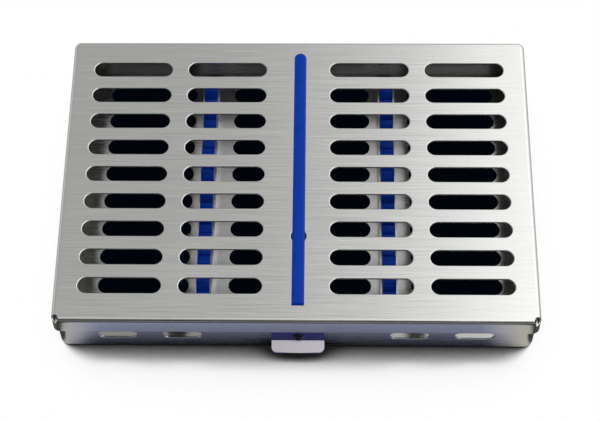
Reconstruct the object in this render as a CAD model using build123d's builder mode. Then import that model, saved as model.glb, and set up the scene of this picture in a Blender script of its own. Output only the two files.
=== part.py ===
# Dental instrument cassette: a slotted steel tray under a slotted steel lid. Two butt
# hinges carry the lid at the rear, a spring tongue holds it shut at the front, two
# silicone racks hold the instruments and a silicone strip in the lid holds them down.
# Millimetres. +Z is up, +X is to the right and -Y points out of the front, at the latch.
# The origin is the middle of the tray's underside, where the cassette stands.
import os

from build123d import *

# Case
case_width = 206.0
case_depth = 144.0
case_height = 26.0
lid_sheet = 0.8
tray_sheet = 0.8
nest_gap = 0.45  # lid flange to tray wall, all round
rim_gap = 0.2  # tray rim to the lid's underside

# Lid
lid_flange = 9.5
lid_corner_radius = 3.0
lid_bend_radius = 1.8
relief_radius = 1.6  # hole at each front corner, where two bends meet
relief_inset = 1.5
relief_depth = 2.8
seam_width = 0.3  # open seam between the front and side flanges
seam_depth = 5.0
row_pitch = 13.9
row_end_room = 14.0  # lid edge to the middle of the first row, at least
row_shift = 0.8  # the rows sit this far behind the middle
slot_width = 7.4
slot_side_margin = 10.2
slot_column_gap = 7.4
slot_centre_margin = 14.4
rim_round = 0.4  # deburred top edge of each slot

# Tray
tray_corner_radius = 4.0
tray_bend_radius = 2.0
floor_row_pitch = 14.4
floor_row_end_room = 11.0
floor_row_shift = 1.7
floor_column_shift = 1.3  # the floor's slots sit this far to the right of the middle
floor_slot_width = 8.0
floor_side_margin = 12.8
centre_web = 8.0
rack_web = 17.5  # floor left whole under each rack
vent_length = 16.8
vent_width = 5.6
vent_height = 11.1
vent_corner_inset = 27.0
vent_pitch = 27.6
side_vent_pitch = 38.0
vent_round = 0.25

# Racks: a steel channel with a silicone insert pressed into it
rack_x = 40.1
channel_sheet = 0.8
channel_width = 7.5
channel_wall = 9.6
channel_bend_radius = 1.2
insert_height = 14.4
insert_gap = 0.1  # silicone to steel
place_pitch = 11.0
place_width = 7.0
place_depth = 5.0
rack_end_room = 12.0  # tray wall to the first place, at least
rack_end_tooth = 3.0
rib_width = 0.8  # low rib along the bottom of the places
rib_height = 0.8

# The strip and the latch sit a little to the right of the middle
fittings_x = 0.9

# Hold-down strip: silicone, its web through a long slot in the lid
strip_head_width = 5.4
strip_head_height = 1.0
strip_head_taper = 30.0  # degrees that the head's flanks lean in
strip_head_round = 0.2
strip_rear_margin = 6.7
strip_front_margin = 7.9
strip_web_width = 2.2
strip_slot_gap = 0.2
strip_head_overlap = 2.0
strip_lip_width = 5.6
strip_lip_height = 1.0
strip_gap = 0.1
finger_slit = 1.0
finger_length = 4.0
instrument_diameter = 7.0
keyhole_radius = 3.2  # round hole where the strip is fed in
keyhole_from_front = 41.5

# Latch: a spring tongue under the front flange, with a blind rivet as its catch
tongue_width = 22.4
tongue_sheet = 0.8
tongue_drop = 7.6  # flange edge to the crease of the thumb lip
tongue_flex_gap = 0.05
thumb_lip_reach = 4.9
thumb_lip_fall = 2.1  # how far the lip slopes down over its reach
thumb_lip_bow = 0.5
thumb_lip_corner = 1.8
thumb_lip_round = 0.25
tongue_inner_bend = 0.6
catch_drop = 4.1
rivet_shank_radius = 1.6
rivet_fit = 0.04
rivet_head_radius = 2.7
rivet_head_height = 1.0
rivet_dome_drop = 0.2  # head height less the dome's height half way out
rivet_bore_radius = 0.85
rivet_bore_depth = 0.9
rivet_bulb_radius = 2.1
rivet_bulb_length = 1.3
catch_hole_gap = 0.6

# Hinges
hinge_from_side = 37.0
hinge_width = 26.0
hinge_sheet = 0.8
hinge_drop = 1.6  # flange edge to the pin's axis
pin_radius = 0.8
pin_fit = 0.04
pin_head_radius = 1.3
pin_head_length = 0.5
pin_head_round = 0.4
knuckle_length = 8.4
knuckle_gap = 0.2
leaf_clearance = 2.1  # pin axis to the straight edge of each leaf
leaf_corner_radius = 1.5
lid_leaf_top_margin = 2.0
tray_leaf_foot = 4.2

# Places that follow from the sizes
tray_width = case_width - 2 * (lid_sheet + nest_gap)
tray_depth = case_depth - 2 * (lid_sheet + nest_gap)
lid_underside = case_height - lid_sheet
wall_top = lid_underside - rim_gap
flange_edge = case_height - lid_flange
lid_front = -case_depth / 2
lid_rear = case_depth / 2
channel_floor = tray_sheet + channel_sheet
insert_top = channel_floor + insert_height
place_floor = insert_top - place_depth
places = int((tray_depth - 2 * tray_sheet - 2 * rack_end_room) / place_pitch)
rack_length = (places - 1) * place_pitch + place_width + 2 * rack_end_tooth
catch_z = flange_edge - catch_drop
thumb_lip_top = flange_edge - tongue_drop
hinge_x = case_width / 2 - hinge_from_side
pin_y = lid_rear + pin_radius + pin_fit + hinge_sheet
pin_z = flange_edge - hinge_drop
knuckle_radius = pin_radius + pin_fit + hinge_sheet


def row_places(pitch, count, shift):
    """Y of each row of an even pattern about shift, rearmost first."""
    return [shift + ((count - 1) / 2 - i) * pitch for i in range(count)]


def sides(x):
    """The same distance to the left and to the right."""
    return (-x, x)


lid_rows = row_places(row_pitch, int((case_depth - 2 * row_end_room) / row_pitch) + 1, row_shift)
floor_rows = row_places(
    floor_row_pitch,
    int((tray_depth - 2 * floor_row_end_room) / floor_row_pitch) + 1,
    floor_row_shift,
)
place_rows = row_places(place_pitch, places, row_shift)


# The lid: top sheet, flanges down all four sides, slots in four columns
lid_slot_length = (case_width / 2 - slot_side_margin - slot_centre_margin - slot_column_gap) / 2
inner_column = slot_centre_margin + lid_slot_length / 2
outer_column = inner_column + lid_slot_length + slot_column_gap
strip_rear = lid_rear - strip_rear_margin
strip_front = lid_front + strip_front_margin
strip_slot_length = strip_rear - strip_front - 2 * strip_head_overlap
strip_slot_y = (strip_rear + strip_front) / 2
strip_slot_width = strip_web_width + 2 * strip_slot_gap
keyhole_y = lid_front + keyhole_from_front

with BuildPart() as lid:
    with BuildSketch(Plane.XY.offset(flange_edge)):
        RectangleRounded(case_width, case_depth, lid_corner_radius)
    extrude(amount=lid_flange)
    fillet(lid.faces().sort_by(Axis.Z)[-1].edges(), lid_bend_radius)
    with BuildSketch(Plane.XY.offset(flange_edge)):
        RectangleRounded(
            case_width - 2 * lid_sheet,
            case_depth - 2 * lid_sheet,
            lid_corner_radius - lid_sheet,
        )
    extrude(amount=lid_flange - lid_sheet, mode=Mode.SUBTRACT)
    inner_bend = lid.edges().filter_by_position(Axis.Z, lid_underside, lid_underside)
    fillet(inner_bend, lid_bend_radius - lid_sheet)
    with BuildSketch(Plane.XY.offset(lid_underside)):
        with Locations(*[(x, y) for x in sides(inner_column) for y in lid_rows]):
            SlotOverall(lid_slot_length, slot_width)
        with Locations(*[(x, y) for x in sides(outer_column) for y in lid_rows]):
            SlotOverall(lid_slot_length, slot_width)
        with Locations((fittings_x, strip_slot_y)):
            SlotOverall(strip_slot_length, strip_slot_width, rotation=90)
        with Locations((fittings_x, keyhole_y)):
            Circle(keyhole_radius)
    extrude(amount=lid_sheet, mode=Mode.SUBTRACT)
    slot_rims = (
        lid.edges()
        .filter_by_position(Axis.Z, case_height, case_height)
        .filter_by(lambda edge: abs(edge.center().X) < case_width / 2 - slot_side_margin / 2)
        .filter_by(lambda edge: abs(edge.center().Y) < case_depth / 2 - strip_rear_margin / 2)
    )
    fillet(slot_rims, rim_round)
    with BuildSketch(Plane.XY.offset(case_height)):
        for x in sides(case_width / 2 - relief_inset):
            with Locations((x, lid_front + relief_inset)):
                Circle(relief_radius)
    extrude(amount=-relief_depth, mode=Mode.SUBTRACT)
    with BuildSketch(Plane.XY.offset(case_height)):
        for x, turn in ((-case_width / 2, 45), (case_width / 2, -45)):
            with Locations((x, lid_front)):
                Rectangle(2 * lid_corner_radius, seam_width, rotation=turn)
    extrude(amount=-seam_depth, mode=Mode.SUBTRACT)
lid.part.label = "lid"

# The tray: one drawn sheet, slots in its floor and vents in its walls
floor_outer_start = rack_x + rack_web / 2
floor_outer_end = tray_width / 2 - floor_side_margin
floor_outer_length = floor_outer_end - floor_outer_start
floor_outer_column = (floor_outer_start + floor_outer_end) / 2
floor_inner_end = rack_x - rack_web / 2
floor_inner_length = floor_inner_end - centre_web / 2
floor_inner_column = (floor_inner_end + centre_web / 2) / 2
front_vents = [case_width / 2 - vent_corner_inset, case_width / 2 - vent_corner_inset - vent_pitch]


def floor_places(column):
    """Middle of each slot in the floor's two columns at this distance."""
    return [(x + floor_column_shift, y) for x in sides(column) for y in floor_rows]


with BuildPart() as base_tray:
    with BuildSketch():
        RectangleRounded(tray_width, tray_depth, tray_corner_radius)
    extrude(amount=wall_top)
    fillet(base_tray.faces().sort_by(Axis.Z)[0].edges(), tray_bend_radius)
    with BuildSketch(Plane.XY.offset(tray_sheet)):
        RectangleRounded(
            tray_width - 2 * tray_sheet,
            tray_depth - 2 * tray_sheet,
            tray_corner_radius - tray_sheet,
        )
    extrude(amount=wall_top - tray_sheet, mode=Mode.SUBTRACT)
    floor_bend = base_tray.edges().filter_by_position(Axis.Z, tray_sheet, tray_sheet)
    fillet(floor_bend, tray_bend_radius - tray_sheet)
    with BuildSketch():
        with Locations(*floor_places(floor_outer_column)):
            SlotOverall(floor_outer_length, floor_slot_width)
        with Locations(*floor_places(floor_inner_column)):
            SlotOverall(floor_inner_length, floor_slot_width)
    extrude(amount=tray_sheet, mode=Mode.SUBTRACT)
    with BuildSketch(Plane.XZ.offset(tray_depth / 2)):
        with Locations(*[(x, vent_height) for vent in front_vents for x in sides(vent)]):
            SlotOverall(vent_length, vent_width)
        with Locations((fittings_x, catch_z)):
            Circle(rivet_bulb_radius + catch_hole_gap)
    extrude(amount=-tray_sheet, mode=Mode.SUBTRACT)
    front_vent_rims = (
        base_tray.edges()
        .filter_by_position(Axis.Y, -tray_depth / 2, -tray_depth / 2)
        .filter_by(lambda edge: abs(edge.center().Z - vent_height) <= vent_width / 2)
        .filter_by(lambda edge: abs(edge.center().X) < case_width / 2 - vent_corner_inset / 2)
    )
    fillet(front_vent_rims, vent_round)
    with BuildSketch(Plane.YZ.offset(-tray_width / 2)):
        with Locations((-side_vent_pitch, vent_height), (0, vent_height), (side_vent_pitch, vent_height)):
            SlotOverall(vent_length, vent_width)
    extrude(amount=tray_width, mode=Mode.SUBTRACT)
base_tray.part.label = "base_tray"


# A rack: U channel welded to the tray's floor, toothed silicone insert in it
def rack_channel(x):
    with BuildPart() as channel:
        with BuildSketch(Plane.XY.offset(tray_sheet)):
            with Locations((x, row_shift)):
                Rectangle(channel_width, rack_length)
        extrude(amount=channel_wall)
        lower_edges = channel.faces().sort_by(Axis.Z)[0].edges().filter_by(Axis.Y)
        fillet(lower_edges, channel_bend_radius)
        with BuildSketch(Plane.XY.offset(channel_floor)):
            with Locations((x, row_shift)):
                Rectangle(channel_width - 2 * channel_sheet, rack_length)
        extrude(amount=channel_wall - channel_sheet, mode=Mode.SUBTRACT)
        inner_edges = (
            channel.edges()
            .filter_by_position(Axis.Z, channel_floor, channel_floor)
            .filter_by(Axis.Y)
        )
        fillet(inner_edges, channel_bend_radius - channel_sheet)
    return channel.part


def rack_insert(x):
    insert_width = channel_width - 2 * (channel_sheet + insert_gap)
    insert_foot = channel_floor + insert_gap
    cut_height = 2 * insert_height
    with BuildPart() as insert:
        with BuildSketch(Plane.XY.offset(insert_foot)):
            with Locations((x, row_shift)):
                Rectangle(insert_width, rack_length)
        extrude(amount=insert_top - insert_foot)
        foot_edges = insert.faces().sort_by(Axis.Z)[0].edges().filter_by(Axis.Y)
        chamfer(foot_edges, channel_bend_radius - channel_sheet)
        with BuildSketch(Plane.YZ.offset(x)):
            with Locations(*[(y, place_floor + cut_height / 2) for y in place_rows]):
                SlotOverall(cut_height, place_width, rotation=90)
        extrude(amount=insert_width, both=True, mode=Mode.SUBTRACT)
        with BuildSketch(Plane.XY.offset(place_floor - rib_height)):
            with Locations((x, row_shift)):
                Rectangle(rib_width, rack_length)
        extrude(amount=2 * rib_height)
    return insert.part


left_rack_channel = rack_channel(-rack_x)
left_rack_channel.label = "left_rack_channel"
right_rack_channel = rack_channel(rack_x)
right_rack_channel.label = "right_rack_channel"
left_rack_insert = rack_insert(-rack_x)
left_rack_insert.label = "left_rack_insert"
right_rack_insert = rack_insert(rack_x)
right_rack_insert.label = "right_rack_insert"

# The hold-down strip: head on the lid, web in the slot, lip under the lid, finger blade
blade_edge = place_floor + rib_height + instrument_diameter
blade_top = lid_underside - strip_gap - strip_lip_height
web_length = strip_slot_length - 2 * strip_slot_gap
blade_length = strip_slot_length - 2 * strip_head_overlap

with BuildPart() as hold_down_strip:
    with BuildSketch(Plane.XY.offset(case_height + strip_gap)):
        with BuildLine():
            half_head = strip_head_width / 2
            front_left = (fittings_x - half_head, strip_front)
            front_right = (fittings_x + half_head, strip_front)
            rear_right = (fittings_x + half_head, strip_rear - half_head)
            rear_left = (fittings_x - half_head, strip_rear - half_head)
            Polyline(rear_left, front_left, front_right, rear_right)
            ThreePointArc(rear_right, (fittings_x, strip_rear), rear_left)
        make_face()
    extrude(amount=strip_head_height, taper=strip_head_taper)
    fillet(hold_down_strip.faces().sort_by(Axis.Z)[-1].edges(), strip_head_round)
    with BuildSketch(Plane.XY.offset(blade_top)):
        with Locations((fittings_x, strip_slot_y)):
            SlotOverall(web_length, strip_web_width, rotation=90)
    extrude(amount=case_height + strip_gap - blade_top)
    with BuildSketch(Plane.XY.offset(blade_top)):
        with Locations((fittings_x, strip_slot_y)):
            RectangleRounded(strip_lip_width, web_length, strip_web_width / 2)
    extrude(amount=strip_lip_height)
    with BuildSketch(Plane.XY.offset(blade_edge)):
        with Locations((fittings_x, strip_slot_y)):
            Rectangle(strip_web_width, blade_length)
    extrude(amount=blade_top - blade_edge)
    with BuildSketch(Plane.YZ.offset(fittings_x)):
        with Locations(*[(y + place_pitch / 2, blade_edge) for y in place_rows]):
            Rectangle(finger_slit, 2 * finger_length)
    extrude(amount=strip_web_width, both=True, mode=Mode.SUBTRACT)
hold_down_strip.part.label = "hold_down_strip"

# The latch tongue: down from the flange's edge, then out as a sloping thumb lip
tongue_back = lid_front + tongue_sheet
lip_tip = lid_front - thumb_lip_reach
lip_slope = thumb_lip_fall / thumb_lip_reach
lip_stretch = (1 + lip_slope**2) ** 0.5
lip_edge = thumb_lip_top - thumb_lip_fall
lip_foot_y = lip_tip + tongue_sheet * lip_slope / lip_stretch
lip_foot = lip_edge - tongue_sheet / lip_stretch
lip_under = lip_foot + (tongue_back - lip_foot_y) * lip_slope
tongue_outer_bend = tongue_inner_bend + tongue_sheet
tongue_top = flange_edge - tongue_flex_gap

with BuildPart() as latch_tongue:
    with BuildSketch(Plane.YZ.offset(fittings_x)) as tongue_profile:
        with BuildLine():
            Polyline(
                (lid_front, tongue_top),
                (lid_front, thumb_lip_top),
                (lip_tip, lip_edge),
                (lip_foot_y, lip_foot),
                (tongue_back, lip_under),
                (tongue_back, tongue_top),
                close=True,
            )
        make_face()
        corners = tongue_profile.vertices()
        fillet(
            corners.sort_by_distance((fittings_x, lid_front, thumb_lip_top))[0],
            tongue_inner_bend,
        )
        fillet(
            corners.sort_by_distance((fittings_x, tongue_back, lip_under))[0],
            tongue_outer_bend,
        )
        fillet(corners.sort_by_distance((fittings_x, lip_tip, lip_edge))[0], thumb_lip_round)
    extrude(amount=tongue_width / 2, both=True)
    with BuildSketch(Plane.XY.offset(lip_foot)) as tongue_outline:
        with BuildLine():
            tongue_left = fittings_x - tongue_width / 2
            tongue_right = fittings_x + tongue_width / 2
            lip_side = lip_tip + thumb_lip_bow
            Polyline(
                (tongue_left, lip_side),
                (tongue_left, tongue_back),
                (tongue_right, tongue_back),
                (tongue_right, lip_side),
            )
            ThreePointArc((tongue_right, lip_side), (fittings_x, lip_tip), (tongue_left, lip_side))
        make_face()
        fillet(tongue_outline.vertices().group_by(Axis.Y)[0], thumb_lip_corner)
    extrude(amount=tongue_top - lip_foot, mode=Mode.INTERSECT)
    with BuildSketch(Plane.XZ.offset(-lid_front)):
        with Locations((fittings_x, catch_z)):
            Circle(rivet_shank_radius + rivet_fit)
    extrude(amount=-tongue_sheet, mode=Mode.SUBTRACT)
latch_tongue.part.label = "latch_tongue"

# The catch: a blind rivet, domed and hollow in front, its bulb through the tray's wall
rivet_face = lid_front - rivet_head_height
bulb_tip = tongue_back + rivet_bulb_length
with BuildPart() as latch_rivet:
    with BuildSketch(Plane.XY.offset(catch_z)):
        with BuildLine():
            axis_x = fittings_x
            bulb_side = (axis_x + rivet_bulb_radius, tongue_back + rivet_bulb_length / 2)
            bore_x = axis_x + rivet_bore_radius
            head_x = axis_x + rivet_head_radius
            dome = ((bore_x + head_x) / 2, rivet_face + rivet_dome_drop)
            Polyline(
                (head_x, lid_front),
                (axis_x + rivet_shank_radius, lid_front),
                (axis_x + rivet_shank_radius, tongue_back),
                bulb_side,
            )
            Spline(bulb_side, (axis_x, bulb_tip), tangents=[(0, 1), (-1, 0)])
            Polyline(
                (axis_x, bulb_tip),
                (axis_x, rivet_face + rivet_bore_depth),
                (bore_x, rivet_face + rivet_bore_depth),
                (bore_x, rivet_face),
            )
            ThreePointArc((bore_x, rivet_face), dome, (head_x, lid_front))
        make_face()
    revolve(axis=Axis((fittings_x, 0, catch_z), (0, 1, 0)))
latch_rivet.part.label = "latch_rivet"


# A hinge: tray leaf with two knuckles, lid leaf with one between them, headed pin
def knuckle_room(x):
    """Plane and length of the gap that the lid leaf's knuckle turns in."""
    return Plane.YZ.offset(x - knuckle_length / 2 - knuckle_gap), knuckle_length + 2 * knuckle_gap


def hinge_tray_leaf(x):
    wall = tray_depth / 2
    knuckle_plane = pin_y - knuckle_radius
    jog = knuckle_plane - wall
    leaf_edge = pin_z - leaf_clearance
    with BuildPart() as leaf:
        with BuildSketch(Plane.YZ.offset(x - hinge_width / 2)):
            with BuildLine():
                Polyline(
                    (wall, tray_leaf_foot),
                    (wall + hinge_sheet, tray_leaf_foot),
                    (wall + hinge_sheet, leaf_edge - jog),
                    (knuckle_plane + hinge_sheet, leaf_edge),
                    (knuckle_plane + hinge_sheet, pin_z),
                    (knuckle_plane, pin_z),
                    (knuckle_plane, leaf_edge),
                    (wall, leaf_edge - jog),
                    close=True,
                )
            make_face()
            with Locations((pin_y, pin_z)):
                Circle(knuckle_radius)
        extrude(amount=hinge_width)
        room_plane, room_length = knuckle_room(x)
        room_size = 4 * knuckle_radius  # past the knuckle on every side
        with BuildSketch(room_plane):
            with Locations((pin_y, leaf_edge)):
                Rectangle(room_size, room_size, align=(Align.CENTER, Align.MIN))
        extrude(amount=room_length, mode=Mode.SUBTRACT)
        with BuildSketch(Plane.YZ.offset(x - hinge_width / 2)):
            with Locations((pin_y, pin_z)):
                Circle(pin_radius + pin_fit)
        extrude(amount=hinge_width, mode=Mode.SUBTRACT)
        foot_corners = leaf.edges().filter_by(Axis.Y).group_by(Axis.Z)[0]
        fillet(foot_corners, leaf_corner_radius)
    return leaf.part


def hinge_lid_leaf(x):
    leaf_edge = pin_z + leaf_clearance
    leaf_top = case_height - lid_bend_radius - lid_leaf_top_margin
    with BuildPart() as leaf:
        with BuildSketch(Plane.XZ.offset(-lid_rear)):
            with Locations((x, leaf_edge)):
                Rectangle(hinge_width, leaf_top - leaf_edge, align=(Align.CENTER, Align.MIN))
            with Locations((x, pin_z)):
                Rectangle(knuckle_length, leaf_edge - pin_z, align=(Align.CENTER, Align.MIN))
        extrude(amount=-hinge_sheet)
        fillet(leaf.edges().filter_by(Axis.Y).group_by(Axis.Z)[-1], leaf_corner_radius)
        with BuildSketch(Plane.YZ.offset(x - knuckle_length / 2)):
            with Locations((pin_y, pin_z)):
                Circle(knuckle_radius)
        extrude(amount=knuckle_length)
        with BuildSketch(Plane.YZ.offset(x - knuckle_length / 2)):
            with Locations((pin_y, pin_z)):
                Circle(pin_radius + pin_fit)
        extrude(amount=knuckle_length, mode=Mode.SUBTRACT)
    return leaf.part


def hinge_pin(x):
    head_plane = x - hinge_width / 2 - pin_head_length
    with BuildPart() as pin:
        with BuildSketch(Plane.YZ.offset(head_plane)):
            with Locations((pin_y, pin_z)):
                Circle(pin_head_radius)
        extrude(amount=pin_head_length)
        with BuildSketch(Plane.YZ.offset(x + hinge_width / 2)):
            with Locations((pin_y, pin_z)):
                Circle(pin_head_radius)
        extrude(amount=pin_head_length)
        with BuildSketch(Plane.YZ.offset(head_plane)):
            with Locations((pin_y, pin_z)):
                Circle(pin_radius)
        extrude(amount=hinge_width + 2 * pin_head_length)
        ends = pin.faces().filter_by(Axis.X).sort_by(Axis.X)
        fillet(ends[0].edges() + ends[-1].edges(), pin_head_round)
    return pin.part


os.makedirs("parts", exist_ok=True)
for block in (lid, base_tray, hold_down_strip, latch_tongue, latch_rivet):
    export_step(block.part, f"parts/{block.part.label}.step")
for piece in (left_rack_channel, right_rack_channel, left_rack_insert, right_rack_insert):
    export_step(piece, f"parts/{piece.label}.step")
for side, x in (("left", -hinge_x), ("right", hinge_x)):
    for make, name in ((hinge_tray_leaf, "tray_leaf"), (hinge_lid_leaf, "lid_leaf"), (hinge_pin, "pin")):
        piece = make(x)
        piece.label = f"{side}_hinge_{name}"
        export_step(piece, f"parts/{piece.label}.step")
print("pin axis", pin_y, pin_z, "tongue axis", lid_front, flange_edge, "places", places, "rack", rack_length)
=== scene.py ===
import math
import bpy
from mathutils import Matrix, Vector


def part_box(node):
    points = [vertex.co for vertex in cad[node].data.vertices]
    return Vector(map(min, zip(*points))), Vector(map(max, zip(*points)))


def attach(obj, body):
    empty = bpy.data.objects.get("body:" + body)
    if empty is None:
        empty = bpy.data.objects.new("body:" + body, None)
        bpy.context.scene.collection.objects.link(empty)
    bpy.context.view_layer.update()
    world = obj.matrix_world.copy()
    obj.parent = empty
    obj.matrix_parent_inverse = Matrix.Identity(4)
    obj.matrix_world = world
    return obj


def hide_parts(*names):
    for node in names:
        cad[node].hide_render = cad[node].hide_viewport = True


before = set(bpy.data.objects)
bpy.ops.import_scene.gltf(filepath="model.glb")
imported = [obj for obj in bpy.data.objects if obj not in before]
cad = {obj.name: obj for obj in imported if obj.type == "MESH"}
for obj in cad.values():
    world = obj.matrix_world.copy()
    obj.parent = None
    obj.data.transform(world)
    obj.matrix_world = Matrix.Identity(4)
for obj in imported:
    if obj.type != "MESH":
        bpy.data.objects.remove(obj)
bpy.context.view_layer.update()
mm = 0.001
samePoint = 0.001 * mm  # points nearer to each other than this are merged
nearby = 0.1 * mm  # what lies this near a place is taken to be there
print("frame loaded:", len(cad), "nodes")


def srgb(code):
    # sRGB hex to linear colour
    channels = [int(code[i:i + 2], 16) / 255 for i in (1, 3, 5)]
    linear = [c / 12.92 if c <= 0.04045 else ((c + 0.055) / 1.055) ** 2.4 for c in channels]
    return (*linear, 1.0)


def newMaterial(name):
    material = bpy.data.materials.new(name)
    material.use_nodes = True
    material.node_tree.nodes.clear()
    return material


def addNode(tree, kind, links=None, **settings):
    # links: input name or number -> a socket, or a plain value
    node = tree.nodes.new(kind)
    for key, value in settings.items():
        setattr(node, key, value)
    for key, value in (links or {}).items():
        if isinstance(value, bpy.types.NodeSocket):
            tree.links.new(value, node.inputs[key])
        else:
            node.inputs[key].default_value = value
    return node


def clearSelection():
    if bpy.context.mode != "OBJECT":
        bpy.ops.object.mode_set(mode="OBJECT")
    bpy.ops.object.select_all(action="DESELECT")


def activate(piece):
    clearSelection()
    piece.select_set(True)
    bpy.context.view_layer.objects.active = piece


def selectFaces(piece, test):
    # leaves edit mode on, with only the faces selected whose centre and normal pass the test
    bpy.ops.object.mode_set(mode="OBJECT")
    for part in (piece.data.vertices, piece.data.edges):
        for item in part:
            item.select = False
    for face in piece.data.polygons:
        face.select = test(face.center, face.normal)
    bpy.ops.object.mode_set(mode="EDIT")
    bpy.ops.mesh.select_mode(type="FACE")


def selectEdges(piece, test):
    # leaves edit mode on, with only the edges selected whose two ends pass the test
    bpy.ops.object.mode_set(mode="OBJECT")
    points = piece.data.vertices
    for part in (points, piece.data.polygons):
        for item in part:
            item.select = False
    for edge in piece.data.edges:
        edge.select = test(points[edge.vertices[0]].co, points[edge.vertices[1]].co)
    bpy.ops.object.mode_set(mode="EDIT")
    bpy.ops.mesh.select_mode(type="EDGE")


def addBlock(name, low, high):
    # a block between two corners, its place in its mesh
    clearSelection()
    centre = [(a + b) / 2 for a, b in zip(low, high)]
    bpy.ops.mesh.primitive_cube_add(size=1, location=centre)
    block = bpy.context.active_object
    block.name = name
    block.data.name = name
    block.scale = [b - a for a, b in zip(low, high)]
    bpy.ops.object.transform_apply(location=True, rotation=True, scale=True)
    return block


def applyModifier(piece, kind, **settings):
    activate(piece)
    modifier = piece.modifiers.new(kind.title(), kind)
    for key, value in settings.items():
        setattr(modifier, key, value)
    bpy.ops.object.modifier_apply(modifier=modifier.name)


def joinPieces(pieces):
    activate(pieces[0])
    for piece in pieces[1:]:
        piece.select_set(True)
    bpy.ops.object.join()
    return pieces[0]


smoothAngle = 35  # degrees between two faces that still shade as one


def finishPiece(piece, material, body, replaced):
    activate(piece)
    bpy.ops.object.mode_set(mode="EDIT")
    bpy.ops.mesh.select_all(action="SELECT")
    bpy.ops.mesh.normals_make_consistent(inside=False)
    bpy.ops.object.mode_set(mode="OBJECT")
    bpy.ops.object.shade_smooth_by_angle(angle=math.radians(smoothAngle))
    piece.data.materials.clear()
    piece.data.materials.append(material)
    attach(piece, body)
    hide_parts(replaced)


# where nearly all values of a pattern lie, as the start and the end that a Map Range node reads
patternSpan = {1: 0.3, 2: 0.7}


def addPattern(tree, sizes, detail=2.0, roughness=0.5):
    # soft uneven patches of these real sizes along X, Y and Z
    place = addNode(tree, "ShaderNodeTexCoord")
    scale = [1 / size for size in sizes]
    scaled = addNode(tree, "ShaderNodeMapping", {"Vector": place.outputs["Object"], "Scale": scale})
    patches = addNode(tree, "ShaderNodeTexNoise", {
        "Vector": scaled.outputs[0], "Scale": 1.0, "Detail": detail, "Roughness": roughness})
    return patches.outputs["Fac"]


# AISI 304 sheet, belt brushed along the cassette's width: soft grey, streaked along the grain
brushedSheet = {
    "colour": "#D2D2D0",
    "darkStreak": "#AEAEAC",
    "roughness": (0.15, 0.27),
    "cloudRoughness": (0.92, 1.08),  # share of that roughness from one patch to the next
    "anisotropy": 0.72,
    "highlightTurn": 0.25,  # share of a full turn from the tangent, which lies along the grain
    "grainWidth": 0.4 * mm,  # real grain is finer than a pixel, so it is drawn this coarse
    "grainLength": 36 * mm,
    "grainDetail": 3.0,
    "grainHarshness": 0.62,
    "cloudSize": 30 * mm,
    "scratchDepth": 0.004 * mm,
    "scratchStrength": 0.6,
    "edgeRadius": 0.12 * mm,
    "sideLimit": 0.7,  # faces that look further sideways than this have their grain along Y
}


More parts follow.
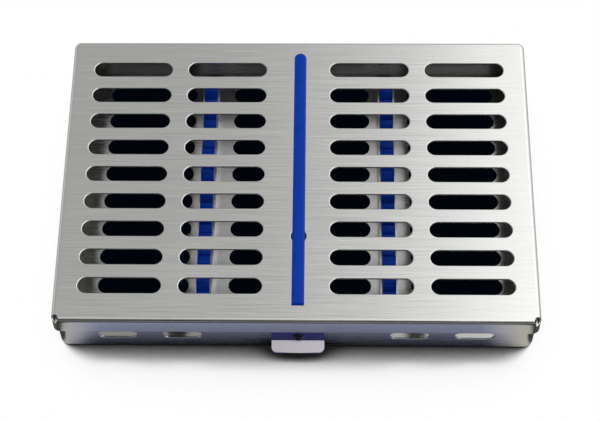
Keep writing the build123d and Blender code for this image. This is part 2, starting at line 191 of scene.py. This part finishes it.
def makeBrushedSteel(name, sheet):
    # a highlight drawn out across the grain, and fine streaks along it;
    # with a front tint, faces that look forwards above its foot get that colour as a painted reflection
    material = newMaterial(name)
    tree = material.node_tree
    place = addNode(tree, "ShaderNodeTexCoord")
    facing = addNode(tree, "ShaderNodeSeparateXYZ", {0: place.outputs["Normal"]})
    sideways = addNode(tree, "ShaderNodeMath", {0: facing.outputs[0]}, operation="ABSOLUTE")
    isSide = addNode(tree, "ShaderNodeMath", {0: sideways.outputs[0], 1: sheet["sideLimit"]},
                     operation="GREATER_THAN")

    width, length = sheet["grainWidth"], sheet["grainLength"]
    alongX, alongY = [addPattern(tree, sizes, sheet["grainDetail"], sheet["grainHarshness"])
                      for sizes in ((length, width, width), (width, length, width))]
    grain = addNode(tree, "ShaderNodeMix", {0: isSide.outputs[0], 2: alongX, 3: alongY})
    cloud = addPattern(tree, [sheet["cloudSize"]] * 3)

    colour = addNode(tree, "ShaderNodeMix", {
        0: grain.outputs[0], 6: srgb(sheet["darkStreak"]), 7: srgb(sheet["colour"])}, data_type="RGBA")
    # painted reflection: faces that look forwards above the foot are painted deep blue
    if "paintedReflection" in sheet:
        spot = addNode(tree, "ShaderNodeSeparateXYZ", {0: place.outputs["Object"]})
        isAbove = addNode(tree, "ShaderNodeMath", {0: spot.outputs[2], 1: sheet["paintedReflectionFoot"]},
                          operation="GREATER_THAN")
        isFront = addNode(tree, "ShaderNodeMath", {0: facing.outputs[1], 1: sheet["frontLimit"]},
                          operation="LESS_THAN")
        hasPaintedReflection = addNode(tree, "ShaderNodeMath", {0: isFront.outputs[0], 1: isAbove.outputs[0]},
                           operation="MULTIPLY")
        colour = addNode(tree, "ShaderNodeMix", {
            0: hasPaintedReflection.outputs[0], 6: colour.outputs[2], 7: srgb(sheet["paintedReflection"])}, data_type="RGBA")

    smoothest, roughest = sheet["roughness"]
    streaks = addNode(tree, "ShaderNodeMapRange", {
        0: grain.outputs[0], **patternSpan, 3: smoothest, 4: roughest})
    least, most = sheet["cloudRoughness"]
    wander = addNode(tree, "ShaderNodeMapRange", {0: cloud, **patternSpan, 3: least, 4: most})
    roughness = addNode(tree, "ShaderNodeMath", {0: streaks.outputs[0], 1: wander.outputs[0]},
                        operation="MULTIPLY")

    edge = addNode(tree, "ShaderNodeBevel", {"Radius": sheet["edgeRadius"]}, samples=4)
    scratches = addNode(tree, "ShaderNodeBump", {
        "Height": grain.outputs[0], "Distance": sheet["scratchDepth"],
        "Strength": sheet["scratchStrength"], "Normal": edge.outputs[0]})
    grainX = addNode(tree, "ShaderNodeCombineXYZ", {0: 1.0})
    grainY = addNode(tree, "ShaderNodeCombineXYZ", {1: 1.0})
    along = addNode(tree, "ShaderNodeMix", {
        0: isSide.outputs[0], 4: grainX.outputs[0], 5: grainY.outputs[0]}, data_type="VECTOR")
    tangent = addNode(tree, "ShaderNodeVectorTransform", {0: along.outputs[1]}, vector_type="VECTOR",
                      convert_from="OBJECT", convert_to="WORLD")
    shader = addNode(tree, "ShaderNodeBsdfPrincipled", {
        "Base Color": colour.outputs[2], "Metallic": 1.0, "Roughness": roughness.outputs[0],
        "Anisotropic": sheet["anisotropy"], "Anisotropic Rotation": sheet["highlightTurn"],
        "Tangent": tangent.outputs[0], "Normal": scratches.outputs[0]})
    addNode(tree, "ShaderNodeOutputMaterial", {"Surface": shader.outputs[0]})
    return material


# Solid stainless steel, turned or upset: plain and without grain, its colour painted dark as the shade and
# dark reflection on the rivet head
plainSteel = {
    # painted shade: far darker than such steel is
    "colour": "#333337",
    "roughness": (0.17, 0.29),
    "mottleSize": 0.8 * mm,
}


def makePlainSteel(name, steel):
    material = newMaterial(name)
    tree = material.node_tree
    mottle = addPattern(tree, [steel["mottleSize"]] * 3)
    smoothest, roughest = steel["roughness"]
    roughness = addNode(tree, "ShaderNodeMapRange", {0: mottle, **patternSpan, 3: smoothest, 4: roughest})
    shader = addNode(tree, "ShaderNodeBsdfPrincipled", {
        "Base Color": srgb(steel["colour"]), "Metallic": 1.0, "Roughness": roughness.outputs[0]})
    addNode(tree, "ShaderNodeOutputMaterial", {"Surface": shader.outputs[0]})
    return material


# Moulded silicone rubber, deep blue: satin, its blue and its sheen slightly uneven
silicone = {
    "colour": "#002E94",
    "paleColour": "#0038A2",
    "roughness": (0.26, 0.36),
    "ior": 1.41,
    "gloss": 0.10,
    "grainSize": 0.35 * mm,
    "grainDepth": 0.006 * mm,
    "grainStrength": 0.5,
    "cloudSize": 9 * mm,
}


def makeSilicone(name, rubber):
    material = newMaterial(name)
    tree = material.node_tree
    cloud = addPattern(tree, [rubber["cloudSize"]] * 3)
    colour = addNode(tree, "ShaderNodeMix", {
        0: cloud, 6: srgb(rubber["colour"]), 7: srgb(rubber["paleColour"])}, data_type="RGBA")
    smoothest, roughest = rubber["roughness"]
    roughness = addNode(tree, "ShaderNodeMapRange", {0: cloud, **patternSpan, 3: smoothest, 4: roughest})
    grain = addPattern(tree, [rubber["grainSize"]] * 3)
    skin = addNode(tree, "ShaderNodeBump", {
        "Height": grain, "Distance": rubber["grainDepth"], "Strength": rubber["grainStrength"]})
    shader = addNode(tree, "ShaderNodeBsdfPrincipled", {
        "Base Color": colour.outputs[2], "Roughness": roughness.outputs[0], "IOR": rubber["ior"],
        "Specular IOR Level": rubber["gloss"], "Normal": skin.outputs[0]})
    addNode(tree, "ShaderNodeOutputMaterial", {"Surface": shader.outputs[0]})
    return material


# The latch tongue: the same sheet, painted brighter all over for the highlight on its lip, and painted deep
# blue on its upright face for a reflection
tongueSheet = {
    **brushedSheet,
    # painted highlight: the tongue's colour is painted brighter than the sheet, for the light on its lip
    "colour": "#EEE8F0",
    "darkStreak": "#D8D2DC",
    # painted reflection: the deep blue stands for what the upright face reflects
    "paintedReflection": "#444C94",
    "paintedReflectionFoot": 8.9 * mm,
    "frontLimit": -0.9,  # faces that look further forwards than this are tinted
}

# The hinge pins: drawn bright, so smoother than the rivet, and lighter, as the rivet's colour is painted
# dark
drawnSteel = {
    **plainSteel,
    "colour": "#A4A4A8",
    "roughness": (0.13, 0.25),
}

brushedSteel = makeBrushedSteel("stainless sheet, belt brushed", brushedSheet)
tongueSteel = makeBrushedSteel("stainless spring sheet, brushed and blued", tongueSheet)
rivetSteel = makePlainSteel("stainless rivet, painted shade", plainSteel)
pinSteel = makePlainSteel("stainless pin, drawn bright", drawnSteel)
blueSilicone = makeSilicone("silicone rubber, moulded blue", silicone)

cadFinish = {
    "base_tray": brushedSteel,
    "lid": brushedSteel,
    "latch_tongue": tongueSteel,
    "latch_rivet": rivetSteel,
}
for side in ("left", "right"):
    cadFinish[f"{side}_rack_channel"] = brushedSteel
    cadFinish[f"{side}_hinge_tray_leaf"] = brushedSteel
    cadFinish[f"{side}_hinge_lid_leaf"] = brushedSteel
    cadFinish[f"{side}_hinge_pin"] = pinSteel
for nodeName, finish in cadFinish.items():
    for materialSlot in cad[nodeName].material_slots:
        materialSlot.material = finish
print("materials set on", len(cadFinish), "steel nodes")


# The silicone racks, with ten round-bottomed places each
rack = {
    "placePitch": 11.0 * mm,
    "places": 10,
    "placeWidth": 7.0 * mm,
    "placeDepth": 5.0 * mm,
    "arcSteps": 14,
    "edgeRound": 0.35 * mm,
    "edgeSteps": 3,
    "edgeAngle": 40,  # degrees, past which an edge is rounded
    "flatAngle": 1,  # degrees, up to which two faces are made one
    "ribWidth": 0.8 * mm,
    "ribHeight": 0.8 * mm,
    "ribSink": 0.5 * mm,  # how far the rib runs down into the rack
    "ribRound": 0.25 * mm,
}


def makeRack(nodeName):
    # the toothed top is drawn as a ribbon of one place, repeated, then drawn down into a solid
    low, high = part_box(nodeName)
    middle = (low + high) / 2
    half = rack["placeWidth"] / 2
    placeBottom = high.z - rack["placeDepth"]
    arcHeight = placeBottom + half
    firstPlace = middle.y - (rack["places"] - 1) / 2 * rack["placePitch"]
    placeStart, placeEnd = firstPlace - half, firstPlace + half
    cellStart = firstPlace - rack["placePitch"] / 2
    cellEnd = cellStart + rack["places"] * rack["placePitch"]
    clearSelection()
    landMiddle = (cellStart + firstPlace - half) / 2  # of the flat land before the first place
    bpy.ops.mesh.primitive_plane_add(size=1, location=(middle.x, landMiddle, high.z))
    piece = bpy.context.active_object
    piece.name = nodeName.replace("insert", "silicone")
    piece.data.name = piece.name
    piece.scale = (high.x - low.x, placeStart - cellStart, 1)
    bpy.ops.object.transform_apply(location=True, rotation=True, scale=True)

    def liesAt(y, z):
        return lambda a, b: all(abs(p.y - y) < samePoint and abs(p.z - z) < samePoint for p in (a, b))

    def extrudeEdge(y, z, step):
        selectEdges(piece, liesAt(y, z))
        bpy.ops.mesh.extrude_region_move(TRANSFORM_OT_translate={"value": step})

    extrudeEdge(placeStart, high.z, (0, 0, arcHeight - high.z))
    selectEdges(piece, liesAt(placeStart, arcHeight))
    bpy.ops.mesh.spin(steps=rack["arcSteps"], angle=math.pi, center=(middle.x, firstPlace, arcHeight),
                      axis=(1, 0, 0))
    extrudeEdge(placeEnd, arcHeight, (0, 0, high.z - arcHeight))
    extrudeEdge(placeEnd, high.z, (0, rack["placePitch"] / 2 - half, 0))
    bpy.ops.object.mode_set(mode="OBJECT")
    applyModifier(piece, "ARRAY", count=rack["places"], use_relative_offset=False, use_constant_offset=True,
                  constant_offset_displace=(0, rack["placePitch"], 0), use_merge_vertices=True,
                  merge_threshold=10 * samePoint)
    extrudeEdge(cellStart, high.z, (0, low.y - cellStart, 0))
    extrudeEdge(cellEnd, high.z, (0, high.y - cellEnd, 0))

    # draw the ribbon down to the foot: each point goes straight down, so the faces stay clean
    selectFaces(piece, lambda centre, normal: True)
    bpy.ops.mesh.extrude_region_move(TRANSFORM_OT_translate={"value": (0, 0, 0)})
    bpy.ops.transform.resize(value=(1, 1, 0), center_override=(middle.x, middle.y, low.z))
    bpy.ops.mesh.select_all(action="SELECT")
    bpy.ops.mesh.remove_doubles(threshold=samePoint)
    bpy.ops.mesh.normals_make_consistent(inside=False)
    bpy.ops.mesh.dissolve_limited(angle_limit=math.radians(rack["flatAngle"]))
    bpy.ops.object.mode_set(mode="OBJECT")
    applyModifier(piece, "BEVEL", width=rack["edgeRound"], segments=rack["edgeSteps"], limit_method="ANGLE",
                  angle_limit=math.radians(rack["edgeAngle"]), use_clamp_overlap=True)

    # the rib along the bottoms of the places
    halfRib = rack["ribWidth"] / 2
    rib = addBlock(piece.name + "_rib",
                   (middle.x - halfRib, low.y + rack["edgeRound"], placeBottom - rack["ribSink"]),
                   (middle.x + halfRib, high.y - rack["edgeRound"], placeBottom + rack["ribHeight"]))
    applyModifier(rib, "BEVEL", width=rack["ribRound"], segments=rack["edgeSteps"], limit_method="ANGLE")
    piece = joinPieces([piece, rib])
    finishPiece(piece, blueSilicone, "tray", nodeName)
    return piece


racks = [makeRack("left_rack_insert"), makeRack("right_rack_insert")]
print("racks:", [len(piece.data.polygons) for piece in racks], "faces")


# The silicone hold-down strip: its head lies on the lid, and its web, lip and slit blade hang below
strip = {
    "headWidth": 5.4 * mm,
    "headHeight": 1.0 * mm,
    "headTaper": 30,  # degrees that its flanks lean in
    "headRound": 0.2 * mm,
    "headRoundSteps": 4,
    "tipSteps": 12,
    "tipLeft": 0.01 * mm,  # what is left of the rear edge between the two arcs
    "tipMerge": 0.05 * mm,  # points this near to each other become the tip
    "webWidth": 2.2 * mm,
    "webSink": 0.1 * mm,  # how far the web runs up into the head
    "lipHeight": 1.0 * mm,
    "sheet": 0.8 * mm,  # the lid, which lies between head and lip
    "sheetGap": 0.1 * mm,
    "headOverlap": 2.0 * mm,
    "slotGap": 0.2 * mm,
    "fingerPitch": 11.0 * mm,
    "fingerSlit": 1.0 * mm,
    "fingerLength": 4.0 * mm,
    "fingerSink": 0.2 * mm,  # how far a finger runs up into the lip
    "fingerRound": 0.3 * mm,
    "fingerRoundSteps": 3,
}


def makeStripHead(x, low, high, headFoot):
    clearSelection()
    bpy.ops.mesh.primitive_plane_add(size=1, location=(x, (low.y + high.y) / 2, headFoot))
    head = bpy.context.active_object
    head.name = "hold_down_silicone"
    head.data.name = head.name
    head.scale = (strip["headWidth"], high.y - low.y, 1)
    bpy.ops.object.transform_apply(location=True, rotation=True, scale=True)
    # the rear end is round, and its two arcs meet in one point
    selectEdges(head, lambda a, b: min(a.y, b.y) > high.y - nearby)
    bpy.ops.mesh.select_mode(type="VERT")
    bpy.ops.mesh.bevel(offset=strip["headWidth"] / 2 - strip["tipLeft"], segments=strip["tipSteps"],
                       affect="VERTICES")
    bpy.ops.mesh.select_all(action="SELECT")
    bpy.ops.mesh.remove_doubles(threshold=strip["tipMerge"])
    # the foot is copied, and its copy drawn in and raised
    selectFaces(head, lambda centre, normal: True)
    bpy.ops.mesh.duplicate()
    drawIn = strip["headHeight"] * math.tan(math.radians(strip["headTaper"]))
    bpy.ops.mesh.inset(thickness=drawIn, depth=strip["headHeight"])
    bpy.ops.mesh.select_all(action="SELECT")
    bpy.ops.mesh.remove_doubles(threshold=samePoint)
    bpy.ops.mesh.normals_make_consistent(inside=False)
    selectFaces(head, lambda centre, normal: centre.z > high.z - nearby)
    bpy.ops.mesh.region_to_loop()
    bpy.ops.mesh.bevel(offset=strip["headRound"], segments=strip["headRoundSteps"], affect="EDGES")
    bpy.ops.object.mode_set(mode="OBJECT")
    return head


def makeStrip(nodeName):
    low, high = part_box(nodeName)
    x = (low.x + high.x) / 2
    headFoot = high.z - strip["headHeight"]
    head = makeStripHead(x, low, high, headFoot)

    webEnd = strip["headOverlap"] + strip["slotGap"]
    lipTop = headFoot - strip["sheetGap"] * 2 - strip["sheet"]
    bladeTop = lipTop - strip["lipHeight"]
    fingerTop = bladeTop + strip["fingerSink"]
    halfWeb = strip["webWidth"] / 2
    rounding = {"width": strip["fingerRound"], "segments": strip["fingerRoundSteps"],
                "limit_method": "ANGLE"}
    web = addBlock("web", (x - halfWeb, low.y + webEnd, bladeTop),
                   (x + halfWeb, high.y - webEnd, headFoot + strip["webSink"]))
    lip = addBlock("lip", (low.x, low.y + webEnd, bladeTop), (high.x, high.y - webEnd, lipTop))
    applyModifier(lip, "BEVEL", **rounding)

    # the blade's fingers, and the uncut stretch above their slits
    bladeStart = low.y + 2 * strip["headOverlap"]
    bladeEnd = high.y - 2 * strip["headOverlap"]
    count = round((bladeEnd - bladeStart) / strip["fingerPitch"])
    pitch = (bladeEnd - bladeStart) / count
    fingers = []
    for n in range(count):
        start = bladeStart + n * pitch + strip["fingerSlit"] / 2
        end = start + pitch - strip["fingerSlit"]
        finger = addBlock("finger", (x - halfWeb, start, low.z), (x + halfWeb, end, fingerTop))
        applyModifier(finger, "BEVEL", **rounding)
        fingers.append(finger)
    backing = addBlock("backing", (x - halfWeb, bladeStart, low.z + strip["fingerLength"]),
                       (x + halfWeb, bladeEnd, fingerTop))
    piece = joinPieces([head, web, lip, backing, *fingers])
    finishPiece(piece, blueSilicone, "lid", nodeName)
    return piece


holdDown = makeStrip("hold_down_strip")
print("hold-down strip:", len(holdDown.data.polygons), "faces")


# The floor: the camera sees it white with a soft shadow, and the steel shows it darker
stage = {
    "floorSize": 8.0,
    "floorDrop": 0.02 * mm,  # below the tray's underside
    "floorColour": "#C6CBD6",
    # painted shade on the floor under the tray, faintly blue
    "underShadeColour": "#01040A",
    "underHalf": (100 * mm, 69 * mm),  # the tray's footprint
    "shadowReach": 60 * mm,
    "shadowLean": 40,  # degrees that the shadow's open side leans to the rear, where the light comes from
    "shadowSamples": 48,
    # how open a spot is, and how bright that makes it
    "shadow": [(0.26, 0.01), (0.30, 0.08), (0.35, 0.20), (0.38, 0.36), (0.44, 0.68), (0.49, 0.92),
               (0.56, 0.95), (0.66, 0.985), (0.74, 1.0)],
    "mirrored": [(0.50, 0.0), (0.58, 0.035), (0.63, 0.12), (0.67, 0.55), (0.76, 0.85), (0.90, 1.0)],
    "mirroredSamples": 12,
    # a painted blue tint on the floor that the steel shows
    "mirroredTint": "#B4BADC",
    "mirroredFront": (-98 * mm, -125 * mm),  # where the floor in the steel darkens towards the camera
    "mirroredFrontLight": 0.1,
    "mirroredMiddle": -3 * mm,
    "mirroredSides": (83 * mm, 101 * mm),  # side light reaches round the corners from here on
    "sideLight": 0.22,
    "sideTint": "#DEDAD2",
    "caseHalf": (103 * mm, 72 * mm),
    # the painted dark strip beside and behind the case, in what the steel shows: how far from it, and how
    # bright
    "beside": [(-2 * mm, 1.0), (0.0, 0.08), (14 * mm, 0.2), (45 * mm, 1.0)],
}


def rampOf(tree, value, stops):
    # straight steps between (value, result) pairs
    result = stops[0][1]
    for (start, low), (end, high) in zip(stops, stops[1:]):
        step = addNode(tree, "ShaderNodeMapRange", {0: value, 1: start, 2: end, 3: 0.0, 4: high - low})
        total = addNode(tree, "ShaderNodeMath", {0: step.outputs[0], 1: result}, operation="ADD")
        result = total.outputs[0]
    return result


def farthestBeyond(tree, places, limits):
    # how far the places lie past their limits, by the farthest of them: negative where all fall short
    past = [addNode(tree, "ShaderNodeMath", {0: place, 1: limit}, operation="SUBTRACT").outputs[0]
            for place, limit in zip(places, limits)]
    return addNode(tree, "ShaderNodeMath", {0: past[0], 1: past[1]}, operation="MAXIMUM").outputs[0]


def floorShadow(tree):
    # the soft shadow of a light above and behind, as the brightness that it leaves
    lean = math.radians(stage["shadowLean"])
    rearwards = addNode(tree, "ShaderNodeCombineXYZ", {1: math.sin(lean), 2: math.cos(lean)})
    behind = addNode(tree, "ShaderNodeAmbientOcclusion", {
        "Distance": stage["shadowReach"], "Normal": rearwards.outputs[0]}, samples=stage["shadowSamples"])
    return rampOf(tree, behind.outputs["AO"], stage["shadow"])


def mirroredFloor(tree, spot, aside):
    # the floor as the steel shows it, a painted reflection: painted shade near the case and towards the
    # camera, and a blue tint
    above = addNode(tree, "ShaderNodeAmbientOcclusion", {"Distance": stage["shadowReach"]},
                    samples=stage["mirroredSamples"])
    offMiddle = addNode(tree, "ShaderNodeMath", {0: spot.outputs[0], 1: stage["mirroredMiddle"]},
                        operation="SUBTRACT")
    sideways = addNode(tree, "ShaderNodeMath", {0: offMiddle.outputs[0]}, operation="ABSOLUTE")
    start, end = stage["mirroredSides"]
    aroundCorner = addNode(tree, "ShaderNodeMapRange", {0: sideways.outputs[0], 1: start, 2: end})
    openness = addNode(tree, "ShaderNodeMath", {
        0: aroundCorner.outputs[0], 1: stage["sideLight"], 2: above.outputs["AO"]},
        operation="MULTIPLY_ADD")
    start, end = stage["mirroredFront"]
    front = addNode(tree, "ShaderNodeMapRange", {
        0: spot.outputs[1], 1: start, 2: end, 3: 1.0, 4: stage["mirroredFrontLight"]})
    away = farthestBeyond(tree, (aside, spot.outputs[1]), stage["caseHalf"])
    light = rampOf(tree, openness.outputs[0], stage["mirrored"])
    for factor in (front.outputs[0], rampOf(tree, away, stage["beside"])):
        light = addNode(tree, "ShaderNodeMath", {0: light, 1: factor}, operation="MULTIPLY").outputs[0]
    grey = addNode(tree, "ShaderNodeCombineColor", {0: light, 1: light, 2: light})
    tint = addNode(tree, "ShaderNodeMix", {
        0: aroundCorner.outputs[0], 6: srgb(stage["mirroredTint"]), 7: srgb(stage["sideTint"])},
        data_type="RGBA")
    tinted = addNode(tree, "ShaderNodeMix", {0: 1.0, 6: grey.outputs[0], 7: tint.outputs[2]},
                     data_type="RGBA", blend_type="MULTIPLY")
    return tinted.outputs[2]


def makeFloorMaterial():
    material = newMaterial("studio floor, matt white")
    tree = material.node_tree
    place = addNode(tree, "ShaderNodeTexCoord")
    spot = addNode(tree, "ShaderNodeSeparateXYZ", {0: place.outputs["Object"]})
    aside, along = [
        addNode(tree, "ShaderNodeMath", {0: spot.outputs[axis]}, operation="ABSOLUTE").outputs[0]
        for axis in (0, 1)]
    light = floorShadow(tree)
    lit = addNode(tree, "ShaderNodeCombineColor", {0: light, 1: light, 2: light})
    path = addNode(tree, "ShaderNodeLightPath")
    shown = addNode(tree, "ShaderNodeMix", {
        0: path.outputs["Is Glossy Ray"], 6: lit.outputs[0], 7: mirroredFloor(tree, spot, aside)},
        data_type="RGBA")
    # painted shade: the floor is dark under the tray
    beyond = farthestBeyond(tree, (aside, along), stage["underHalf"])
    isOutside = addNode(tree, "ShaderNodeMath", {0: beyond, 1: 0.0}, operation="GREATER_THAN")
    shown = addNode(tree, "ShaderNodeMix", {
        0: isOutside.outputs[0], 6: srgb(stage["underShadeColour"]), 7: shown.outputs[2]}, data_type="RGBA")
    seen = addNode(tree, "ShaderNodeEmission", {"Color": shown.outputs[2]})
    # what lights the cassette from below is a plain matt floor
    plain = addNode(tree, "ShaderNodeBsdfDiffuse", {"Color": srgb(stage["floorColour"])})
    direct = addNode(tree, "ShaderNodeMath", {
        0: path.outputs["Is Camera Ray"], 1: path.outputs["Is Glossy Ray"]}, operation="MAXIMUM")
    shader = addNode(tree, "ShaderNodeMixShader", {
        0: direct.outputs[0], 1: plain.outputs[0], 2: seen.outputs[0]})
    addNode(tree, "ShaderNodeOutputMaterial", {"Surface": shader.outputs[0]})
    return material


def makeFloor():
    clearSelection()
    bpy.ops.mesh.primitive_plane_add(size=stage["floorSize"], location=(0, 0, -stage["floorDrop"]))
    floor = bpy.context.active_object
    floor.name = "floor"
    floor.data.materials.append(makeFloorMaterial())


# The light: a softbox overhead in a room whose walls and ceiling differ in brightness
studio = {
    "overheadPlace": (0.0, 0.10, 1.15),
    "overheadSize": (0.7, 0.35),
    "overheadPower": 0.5,
    # how far to the right a direction points, and how bright the ceiling is there
    "ceiling": [(-0.30, 0.60), (-0.08, 0.64), (-0.03, 0.66), (0.0, 0.82), (0.04, 0.90), (0.08, 1.4),
                (0.12, 2.0)],
    "ceilingEdge": (0.30, 0.60),  # how steeply a direction points up where the ceiling begins and is full
    "rearWall": 0.65,
    # the right, left and near walls: axis, where each begins and where it is full, brightness
    "walls": [(0, (0.2, 0.7), 1.2), (0, (-0.2, -0.5), 0.95), (1, (-0.3, -0.6), 0.30)],
    # the dim patch where the camera stands: where it begins and where it is full
    "nearColour": "#181A26",
    "nearSide": (-0.12, -0.40),
    "nearWidth": (0.60, 0.30),
    "nearTop": (0.93, 0.87),
    "nearFoot": (0.40, 0.50),
}


def makeSoftbox():
    lamp = bpy.data.lights.new("overhead softbox", "AREA")
    lamp.shape = "RECTANGLE"
    lamp.size, lamp.size_y = studio["overheadSize"]
    lamp.energy = studio["overheadPower"]
    box = bpy.data.objects.new("overhead softbox", lamp)
    box.location = studio["overheadPlace"]
    box.rotation_euler = (-Vector(studio["overheadPlace"])).to_track_quat("-Z", "Y").to_euler()
    bpy.context.scene.collection.objects.link(box)


def makeWorld():
    world = bpy.data.worlds.new("studio")
    bpy.context.scene.world = world
    world.use_nodes = True
    tree = world.node_tree
    tree.nodes.clear()
    direction = addNode(tree, "ShaderNodeTexCoord")
    right, rear, up = addNode(tree, "ShaderNodeSeparateXYZ", {0: direction.outputs["Generated"]}).outputs

    # the walls around the room, and the ceiling over them
    ceiling = rampOf(tree, right, studio["ceiling"])
    room = studio["rearWall"]
    for axis, (start, full), brightness in (*studio["walls"], (2, studio["ceilingEdge"], ceiling)):
        reach = addNode(tree, "ShaderNodeMapRange", {0: (right, rear, up)[axis], 1: start, 2: full},
                        interpolation_type="SMOOTHSTEP")
        room = addNode(tree, "ShaderNodeMix", {0: reach.outputs[0], 2: room, 3: brightness}).outputs[0]
    roomColour = addNode(tree, "ShaderNodeCombineColor", {0: room, 1: room, 2: room})

    # the dim patch where the camera stands
    aside = addNode(tree, "ShaderNodeMath", {0: right}, operation="ABSOLUTE").outputs[0]
    dim = 1.0
    for value, limit in ((rear, "nearSide"), (aside, "nearWidth"), (up, "nearTop"), (up, "nearFoot")):
        start, full = studio[limit]
        reach = addNode(tree, "ShaderNodeMapRange", {0: value, 1: start, 2: full},
                        interpolation_type="SMOOTHSTEP")
        both = addNode(tree, "ShaderNodeMath", {0: reach.outputs[0], 1: dim}, operation="MULTIPLY")
        dim = both.outputs[0]
    shade = addNode(tree, "ShaderNodeMix", {
        0: dim, 6: roomColour.outputs[0], 7: srgb(studio["nearColour"])}, data_type="RGBA")

    # the camera itself sees plain white behind the floor
    light = addNode(tree, "ShaderNodeBackground", {"Color": shade.outputs[2]})
    backdrop = addNode(tree, "ShaderNodeBackground", {"Color": (1, 1, 1, 1), "Strength": 1.0})
    path = addNode(tree, "ShaderNodeLightPath")
    seen = addNode(tree, "ShaderNodeMixShader", {
        0: path.outputs["Is Camera Ray"], 1: light.outputs[0], 2: backdrop.outputs[0]})
    addNode(tree, "ShaderNodeOutputWorld", {"Surface": seen.outputs[0]})


camera = {
    "place": (0.01108, -0.40892, 0.69228),
    "tilt": 30.424,  # degrees from straight down
    "turn": 2.713,
    "roll": -2.110,
    "lens": 106.88,  # this and the sensor are in millimetres
    "sensor": 36,
    "shift": 0.0340,
    "nearest": 10 * mm,
}


def makeCamera():
    lens = bpy.data.cameras.new("camera")
    lens.lens = camera["lens"]
    lens.sensor_width = camera["sensor"]
    lens.shift_x = camera["shift"]
    lens.clip_start = camera["nearest"]
    view = bpy.data.objects.new("camera", lens)
    view.location = camera["place"]
    turn = Matrix.Rotation(math.radians(camera["turn"]), 3, "Z")
    tilt = Matrix.Rotation(math.radians(camera["tilt"]), 3, "X")
    roll = Matrix.Rotation(math.radians(camera["roll"]), 3, "Z")
    view.rotation_euler = (turn @ tilt @ roll).to_euler()
    bpy.context.scene.collection.objects.link(view)
    bpy.context.scene.camera = view


makeFloor()
makeSoftbox()
makeWorld()
makeCamera()
bpy.context.scene.view_settings.view_transform = "Standard"
print("floor, light and camera set")
